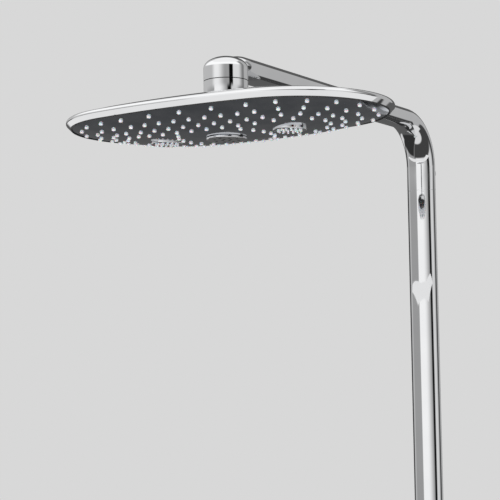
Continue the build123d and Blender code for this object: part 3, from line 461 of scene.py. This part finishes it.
def fillet_rows(centre, radius, start, end, count=10):
    """Rows of a rounded edge as insets and heights; angles in degrees."""
    rows = []
    for k in range(count + 1):
        angle = math.radians(start + (end - start) * k / count)
        rows.append((centre[0] + radius * math.cos(angle), centre[1] + radius * math.sin(angle)))
    return rows


def through(points, spot):
    """A smooth curve through a few points, read at spot; the first values ascend."""
    last = len(points) - 1
    k = min(max(i for i, p in enumerate(points) if p[0] <= spot or i == 0), last - 1)

    def slope(i):
        before, after = points[max(i - 1, 0)], points[min(i + 1, last)]
        return (after[1] - before[1]) / (after[0] - before[0])

    (x0, y0), (x1, y1) = points[k], points[k + 1]
    width = x1 - x0
    t = (spot - x0) / width
    return (
        y0 * (1 + 2 * t) * (1 - t) ** 2 + slope(k) * width * t * (1 - t) ** 2
        + y1 * t * t * (3 - 2 * t) + slope(k + 1) * width * t * t * (t - 1)
    )


def skin_mesh(name, groups, keep=None):
    """A mesh from groups of rings; each group is skinned from ring to ring."""
    verts, faces = [], []
    for rings, open_start, open_end in groups:
        base, count = len(verts), len(rings[0])
        for ring in rings:
            verts += ring
        for row in range(len(rings) - 1):
            for k in range(count):
                a, b = base + row * count + k, base + row * count + (k + 1) % count
                quad = (a, b, b + count, a + count)
                if keep is None or keep(sum((verts[i] for i in quad), Vector()) / 4):
                    faces.append(quad)
        if not open_start:
            faces.append(tuple(reversed(range(base, base + count))))
        if not open_end:
            faces.append(tuple(range(len(verts) - count, len(verts))))
    mesh = bpy.data.meshes.new(name)
    mesh.from_pydata(verts, [], faces)
    mesh.update()
    mesh.shade_smooth()
    mesh.set_sharp_from_angle(angle=SHARP_ANGLE)
    piece = bpy.data.objects.new(name, mesh)
    bpy.context.scene.collection.objects.link(piece)
    return piece


def stand_in(piece, node, seam=None):
    """The piece takes over a node's body, slot and place; its flat faces at the seam get the dark plastic
    finish as painted shade.
    """
    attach(piece, body_of(frame["nodes"][node])[0])
    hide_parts(node)
    piece.data.materials.append(FINISHES[SLOTS[node]])
    # Painted shade: the flat faces inside the seam take the dark plastic finish, so the gap between the
    # parts reads dark.
    if seam is not None:
        piece.data.materials.append(FINISHES["inner_plastic"])
        for face in piece.data.polygons:
            if abs(face.center.z - seam) < SEAM_SHADE_REACH and abs(face.normal.z) > 0.9:
                face.material_index = 1
    return piece


COVER_CURVE = ((0.2, 1.0), (0.42, 0.91), (0.66, 0.7), (0.86, 0.38), (0.985, 0.03))


def cover_height(factor):
    """Height of the head's top, where the outline is scaled by factor."""
    return RIM_HEIGHT - COVER_TUCK + COVER_RISE * min(through(COVER_CURVE, factor), 1.0)


def head_shell_piece():
    """The rim with its bevel and rounded edges, and the low dome on top."""
    tuck = RIM_CREST * math.tan(math.radians(22.5))
    rows = [(FACE_INSET, GROOVE_DEEP), (FACE_INSET, 0), (RIM_BEVEL, 0)]
    rows += fillet_rows((RIM_CREST, RIM_BEVEL + tuck), RIM_CREST, 225, 180)
    rows += fillet_rows((RIM_ROUND, RIM_HEIGHT - RIM_ROUND), RIM_ROUND, 180, 90, 16)
    rings = [offset_ring(inset, height) for inset, height in rows]
    for k in range(1, COVER_STEPS + 1):
        factor = 1 - (1 - COVER_INNER) * k / COVER_STEPS
        roundness = max(0.0, (k / COVER_STEPS - COVER_ROUND_FROM) / (1 - COVER_ROUND_FROM))
        roundness = roundness * roundness * (3 - 2 * roundness)
        height = max(cover_height(factor * COVER_START), RIM_HEIGHT)
        rings.append(scaled_ring(RIM_ROUND, factor, height, PAD_R, roundness))
    top = cover_height(COVER_INNER)
    rings.append(scaled_ring(0, 1, top, SOCKET_HOLE, 1))
    rings.append(scaled_ring(0, 1, top - SOCKET_DEEP, SOCKET_HOLE, 1))
    rings.append(scaled_ring(0, INSIDE_SHARE, RIM_HEIGHT + INSIDE_RISE - SKIN))
    rings.append(rings[0])
    return skin_mesh("head_shell_smooth", [(rings, True, True)])


def face_height(factor):
    """Height of the spray face, where the outline is scaled by factor."""
    return -CROWN * (1 - factor**CROWN_POWER)


def spray_face_piece():
    """The bulging spray face, with its skin and upright edge, open at the middle."""
    edge = FACE_INSET + FACE_GAP
    under, over = [], []
    for k in range(FACE_STEPS + 1):
        factor = 1 - (1 - FACE_INNER) * k / FACE_STEPS
        roundness = max(0.0, (k / FACE_STEPS - FACE_ROUND_FROM) / (1 - FACE_ROUND_FROM))
        height = face_height(factor)
        under.append(scaled_ring(edge, factor, height, FACE_HOLE, roundness))
        over.append(scaled_ring(edge + FACE_SKIN, factor, height + FACE_SKIN, FACE_HOLE, roundness))
    flange = [offset_ring(edge + FACE_SKIN, FACE_FLANGE), offset_ring(edge, FACE_FLANGE)]
    rings = list(reversed(over)) + flange + under + [over[-1]]
    seats = [HEAD_CENTRE + Vector((side * END_X, 0, 0)) for side in (-1, 1)]

    def clear_of_seats(spot):
        return all((spot - seat).xy.length > INSERT_HOLE for seat in seats)

    return skin_mesh("spray_face_smooth", [(rings, True, True)], clear_of_seats)


def turned(rows, count=160):
    """Rings of a shape turned about the hub's axis, from radii and heights."""
    directions = [2 * math.pi * k / count for k in range(count)]
    return [
        [HEAD_CENTRE + Vector((r * math.cos(a), r * math.sin(a), h)) for a in directions]
        for r, h in rows
    ]


def section(middle, up, width, depth, count=144):
    """One oval ring of the arm or column."""
    ring = []
    for k in range(count):
        a = 2 * math.pi * k / count
        ring.append(middle + Vector((width / 2 * math.cos(a), 0, 0)) + up * (depth / 2 * math.sin(a)))
    return ring


def arm_piece():
    """The hub's top with its oval dome, and the arm round the bend."""
    arm_z = HEAD_CENTRE.z + ARM_UP
    bend_y = COLUMN_Y - BEND_R
    rings = []
    for k in range(1, NOSE_STEPS + 1):
        angle = math.pi / 2 * k / NOSE_STEPS
        middle = Vector((0, HEAD_CENTRE.y + NOSE * (1 - math.cos(angle)), arm_z))
        size = math.sin(angle)
        rings.append(section(middle, Vector((0, 0, 1)), SECTION_W * size, SECTION_D * size))
    start_y = HEAD_CENTRE.y + NOSE
    for k in range(1, ARM_STEPS + 1):
        middle = Vector((0, start_y + (bend_y - start_y) * k / ARM_STEPS, arm_z))
        rings.append(section(middle, Vector((0, 0, 1)), SECTION_W, SECTION_D))
    for k in range(1, BEND_STEPS + 1):
        angle = math.pi / 2 * k / BEND_STEPS
        up = Vector((0, math.sin(angle), math.cos(angle)))
        middle = Vector((0, bend_y, arm_z - BEND_R)) + up * BEND_R
        rings.append(section(middle, up, SECTION_W, SECTION_D))
    back = Vector((0, 1, 0))
    for height in (arm_z - BEND_R - BELOW_BEND, ARM_FOOT_Z):
        rings.append(section(Vector((0, COLUMN_Y, height)), back, SECTION_W, SECTION_D))
    inner = (SECTION_W - 2 * SKIN, SECTION_D - 2 * SKIN)
    for height in (ARM_FOOT_Z, ARM_FOOT_Z + FOOT_BORE):
        rings.append(section(Vector((0, COLUMN_Y, height)), back, *inner))
    rows = [(STUD_HOLE, HUB_SEAM + STUD_DEEP), (STUD_HOLE, HUB_SEAM), (HUB_R, HUB_SEAM)]
    for k in range(DOME_STEPS + 1):
        angle = math.pi / 2 * k / DOME_STEPS
        rows.append((max(HUB_R * math.cos(angle), DOME_TIP), DOME_UP + DOME_RISE * math.sin(angle)))
    return skin_mesh("arm_smooth", [(rings, False, True), (turned(rows), True, False)])


def collar_piece():
    """The collar below the hub's seam."""
    foot = COLLAR_LOW.z - HEAD_CENTRE.z
    top = COLLAR_HIGH.z - HEAD_CENTRE.z
    edge = COLLAR_EDGE
    roof = HUB_SEAM - COLLAR_ROOF
    rows = [(COLLAR_BORE, foot), (HUB_R - edge, foot)]
    for k in range(1, COLLAR_EDGE_STEPS + 1):
        angle = math.pi / 2 * k / COLLAR_EDGE_STEPS
        rows.append((HUB_R - edge + edge * math.sin(angle), foot + edge - edge * math.cos(angle)))
    rows += [(HUB_R, top), (STUD_HOLE, top), (STUD_HOLE, roof)]
    rows += [(COLLAR_BORE, roof), (COLLAR_BORE, foot)]
    return skin_mesh("collar_smooth", [(turned(rows), True, True)])


def column_piece():
    """The oval column, open inside, with two small screw holes at its back."""
    back = Vector((0, 1, 0))
    screws = (SCREWS_LOW.z + SCREW_R, SCREWS_HIGH.z - SCREW_R)
    heights = {TUBE_LOW.z, TUBE_HIGH.z}
    for middle in screws:
        heights |= {middle + row * SCREW_ROWS for row in range(-2, 3)}
    rings = [
        section(Vector((0, COLUMN_Y, z)), back, SECTION_W, SECTION_D) for z in sorted(heights)
    ]
    inner = (SECTION_W - 2 * SKIN, SECTION_D - 2 * SKIN)
    for z in (TUBE_HIGH.z, TUBE_LOW.z):
        rings.append(section(Vector((0, COLUMN_Y, z)), back, *inner))
    rings.append(rings[0])
    tube = skin_mesh("column_smooth", [(rings, True, True)])
    for middle in screws:
        angles = [2 * math.pi * k / SCREW_HOLE_SIDES for k in range(SCREW_HOLE_SIDES)]
        hole = [
            [Vector((SCREW_HOLE_R * math.cos(a), y, middle + SCREW_HOLE_R * math.sin(a))) for a in angles]
            for y in (COLUMN_Y + DRILL_FROM, COLUMN_Y + SECTION_D)
        ]
        drill = skin_mesh("drill", [(hole, False, False)])
        cut = tube.modifiers.new("hole", "BOOLEAN")
        cut.operation = "DIFFERENCE"
        cut.solver = "EXACT"
        cut.object = drill
        drilled = bpy.data.meshes.new_from_object(
            tube.evaluated_get(bpy.context.evaluated_depsgraph_get()))
        tube.modifiers.clear()
        tube.data = drilled
        bpy.data.objects.remove(drill)
    return tube


WIRE_R = 0.45 * MM
WIRE_SIDES = 12
COIL_STEPS = 320
SPRING_PITCH = 2.6 * MM


def spring_piece(node):
    """A coil spring in the node's place, for the button that presses it."""
    low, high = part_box(node)
    middle = (low + high) / 2
    radius = (high.x - low.x) / 2 - WIRE_R
    length = high.y - low.y - 2 * WIRE_R
    rings = []
    for k in range(COIL_STEPS + 1):
        angle = 2 * math.pi * length / SPRING_PITCH * k / COIL_STEPS
        out = Vector((math.cos(angle), 0, math.sin(angle)))
        spot = Vector((middle.x, high.y - WIRE_R - length * k / COIL_STEPS, middle.z)) + out * radius
        rings.append([
            spot + out * (WIRE_R * math.cos(a)) + Vector((0, WIRE_R * math.sin(a), 0))
            for a in (2 * math.pi * i / WIRE_SIDES for i in range(WIRE_SIDES))
        ])
    return skin_mesh(node + "_coil", [(rings, False, False)])


# ---------------------------------------------------------------- materials
FINE_SHARE = 9          # how much finer the fine variation is than the broad one
RELIEF_DEPTH = 0.2 * MM


def noise(tree, spot, scale, detail=3.0, stretch=None):
    """Smooth random values over the object, finer along an axis if stretched."""
    if stretch:
        mapping = tree.nodes.new("ShaderNodeMapping")
        mapping.inputs["Scale"].default_value = stretch
        tree.links.new(spot, mapping.inputs["Vector"])
        spot = mapping.outputs[0]
    texture = tree.nodes.new("ShaderNodeTexNoise")
    texture.inputs["Scale"].default_value = scale
    texture.inputs["Detail"].default_value = detail
    tree.links.new(spot, texture.inputs["Vector"])
    return texture.outputs[0]


def finish_of(name, tones, metallic, roughness, scale, stretch=None, bump=0.0, extra=None):
    """A procedural finish: tone, roughness and relief all vary over the surface."""
    material = bpy.data.materials.new(name)
    material.use_nodes = True
    tree = material.node_tree
    bsdf = tree.nodes["Principled BSDF"]
    spot = tree.nodes.new("ShaderNodeTexCoord").outputs["Object"]
    broad = noise(tree, spot, scale, 2.0)
    fine = noise(tree, spot, scale * FINE_SHARE, 5.0, stretch)
    tone = tree.nodes.new("ShaderNodeMix")
    tone.data_type = "RGBA"
    tree.links.new(soft_step(tree, broad, 0.3, 0.7), tone.inputs[0])
    tone.inputs[6].default_value = (*tones[0], 1)
    tone.inputs[7].default_value = (*tones[1], 1)
    tree.links.new(tone.outputs[2], bsdf.inputs["Base Color"])
    tree.links.new(mix_value(tree, fine, *roughness), bsdf.inputs["Roughness"])
    bsdf.inputs["Metallic"].default_value = metallic
    if bump:
        relief = tree.nodes.new("ShaderNodeBump")
        relief.inputs["Strength"].default_value = bump
        relief.inputs["Distance"].default_value = RELIEF_DEPTH
        tree.links.new(fine, relief.inputs["Height"])
        tree.links.new(relief.outputs[0], bsdf.inputs["Normal"])
    for socket, value in (extra or {}).items():
        bsdf.inputs[socket].default_value = value
    return material


FINISHES = {
    "chrome": finish_of(
        "polished_chrome", ((0.82, 0.825, 0.835), (0.85, 0.855, 0.862)), 1, (0.015, 0.04), 22),
    # The spray face is the same chrome, given a much darker tone: painted shade that dims what it
    # mirrors.
    "face_chrome": finish_of(
        "spray_face_chrome_painted_shade", ((0.40, 0.425, 0.47), (0.52, 0.54, 0.58)), 1, (0.03, 0.1), 45, bump=0.02),
    "silicone": finish_of(
        "clear_silicone", ((0.6, 0.615, 0.64), (0.72, 0.73, 0.745)), 0, (0.28, 0.5), 160,
        extra={"Subsurface Weight": 0.3, "Subsurface Scale": 0.003}),
    "rubber_seal": finish_of(
        "black_rubber", ((0.012, 0.012, 0.013), (0.03, 0.03, 0.03)), 0, (0.5, 0.75), 120, bump=0.3),
    # Also used as painted shade on the flat faces inside the hub's seam.
    "inner_plastic": finish_of(
        "moulded_plastic_and_seam_shade", ((0.05, 0.052, 0.056), (0.075, 0.077, 0.08)), 0, (0.4, 0.6), 70, bump=0.15),
    "water_tube": finish_of(
        "water_tube_plastic", ((0.52, 0.53, 0.5), (0.62, 0.62, 0.58)), 0, (0.3, 0.45), 40,
        (1, 1, 0.05)),
    "brass": finish_of(
        "turned_brass", ((0.72, 0.53, 0.27), (0.82, 0.62, 0.34)), 1, (0.2, 0.38), 60, (1, 9, 1), 0.2),
    "steel": finish_of(
        "stainless_steel", ((0.5, 0.5, 0.5), (0.62, 0.62, 0.61)), 1, (0.2, 0.36), 90, (1, 1, 6), 0.15),
    "shelf_glass": finish_of(
        "shelf_glass", ((0.62, 0.66, 0.67), (0.7, 0.73, 0.735)), 0, (0.05, 0.14), 14,
        extra={"Coat Weight": 0.5}),
    "grey_plastic": finish_of(
        "satin_grey_plastic", ((0.2, 0.205, 0.21), (0.26, 0.265, 0.27)), 0, (0.34, 0.5), 80, bump=0.1),
}
SLOTS = {name: piece.data.materials[0].name for name, piece in frame["nodes"].items()}
for name, piece in frame["nodes"].items():
    piece.data.materials[0] = FINISHES[SLOTS[name]]

stand_in(head_shell_piece(), "head_shell")
stand_in(spray_face_piece(), "spray_face")
# The arm and the collar pass the seam's height, where their facing faces get painted shade.
stand_in(arm_piece(), "arm_casting", HEAD_CENTRE.z + HUB_SEAM)
stand_in(collar_piece(), "hub_collar", HEAD_CENTRE.z + HUB_SEAM)
stand_in(column_piece(), "column_tube")
for side in ("left", "right"):
    spring = f"button_spring_{side}"
    coil = stand_in(spring_piece(spring), spring)
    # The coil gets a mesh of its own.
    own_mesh(coil)
